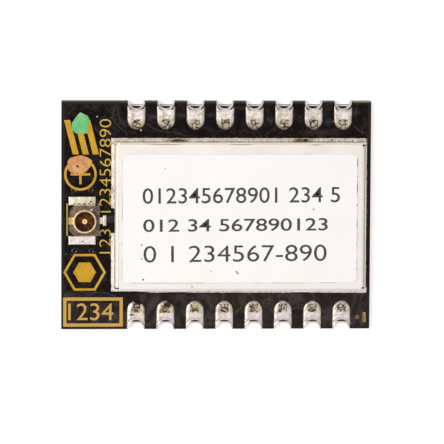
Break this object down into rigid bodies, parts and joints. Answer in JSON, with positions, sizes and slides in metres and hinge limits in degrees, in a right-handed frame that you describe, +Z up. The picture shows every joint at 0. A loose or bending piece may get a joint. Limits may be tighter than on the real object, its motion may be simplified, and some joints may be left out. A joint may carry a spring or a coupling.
{
  "type": "radio module",
  "caption": "Surface-mount radio module: black circuit board with half-hole edge terminals, a soldered metal shield can with a white label, and a miniature coaxial aerial socket.",
  "frame": {"origin": "middle of the board's footprint, on the plane under the terminals' bottom lands", "axes": "+X along the board's long side, away from the aerial socket; +Y across the board, towards terminals 9 to 16; +Z up, away from the host board"},
  "size_m": [0.0266, 0.0198, 0.003],
  "materials": {
    "black_masked_laminate": "satin black solder mask over glass-epoxy",
    "tinned_sheet": "bright tinned sheet, slightly satin",
    "label_paper": "smooth coated white paper, matt",
    "terminal_solder": "levelled solder, soft gloss with fine lumps",
    "joint_solder": "reflowed solder, glossy with flux specks",
    "plated_contact": "gold-plated stamping, polished",
    "plated_pin": "gold-plated pin, polished",
    "moulded_insulator": "dark brown moulded liquid-crystal polymer",
    "green_paint": "green inspection paint, satin",
    "orange_paint": "orange inspection paint, satin",
    "chip_body": "black moulding compound",
    "oscillator_lid": "plated lid on a ceramic base",
    "moulded_ferrite": "grey moulded ferrite",
    "capacitor_ceramic": "tan ceramic",
    "resistor_body": "black glazed film on ceramic",
    "bobbin_ceramic": "white ceramic with copper winding"
  },
  "bodies": {
    "root": {"circuit_board": "black_masked_laminate", "shield_can": "tinned_sheet", "label": "label_paper", "terminal_01": "terminal_solder", "terminal_02": "terminal_solder", "terminal_03": "terminal_solder", "terminal_04": "terminal_solder", "terminal_05": "terminal_solder", "terminal_06": "terminal_solder", "terminal_07": "terminal_solder", "terminal_08": "terminal_solder", "terminal_09": "terminal_solder", "terminal_10": "terminal_solder", "terminal_11": "terminal_solder", "terminal_12": "terminal_solder", "terminal_13": "terminal_solder", "terminal_14": "terminal_solder", "terminal_15": "terminal_solder", "terminal_16": "terminal_solder", "shield_solder_upper_left": "joint_solder", "shield_solder_upper": "joint_solder", "shield_solder_right": "joint_solder", "shield_solder_lower": "joint_solder", "shield_solder_lower_left": "joint_solder", "socket_ground_solder_upper": "joint_solder", "socket_ground_solder_lower": "joint_solder", "socket_signal_solder": "joint_solder", "socket_outer_contact": "plated_contact", "socket_centre_contact": "plated_pin", "socket_insulator": "moulded_insulator", "green_paint_mark": "green_paint", "orange_paint_mark": "orange_paint", "transceiver_chip": "chip_body", "aerial_switch": "chip_body", "reference_oscillator": "oscillator_lid", "supply_inductor": "moulded_ferrite", "capacitor_1": "capacitor_ceramic", "capacitor_2": "capacitor_ceramic", "capacitor_3": "capacitor_ceramic", "capacitor_4": "capacitor_ceramic", "capacitor_5": "capacitor_ceramic", "capacitor_6": "capacitor_ceramic", "capacitor_7": "capacitor_ceramic", "capacitor_8": "capacitor_ceramic", "capacitor_9": "capacitor_ceramic", "capacitor_10": "capacitor_ceramic", "resistor_1": "resistor_body", "resistor_2": "resistor_body", "matching_inductor_1": "bobbin_ceramic", "matching_inductor_2": "bobbin_ceramic", "matching_inductor_3": "bobbin_ceramic"}
  },
  "joints": []
}
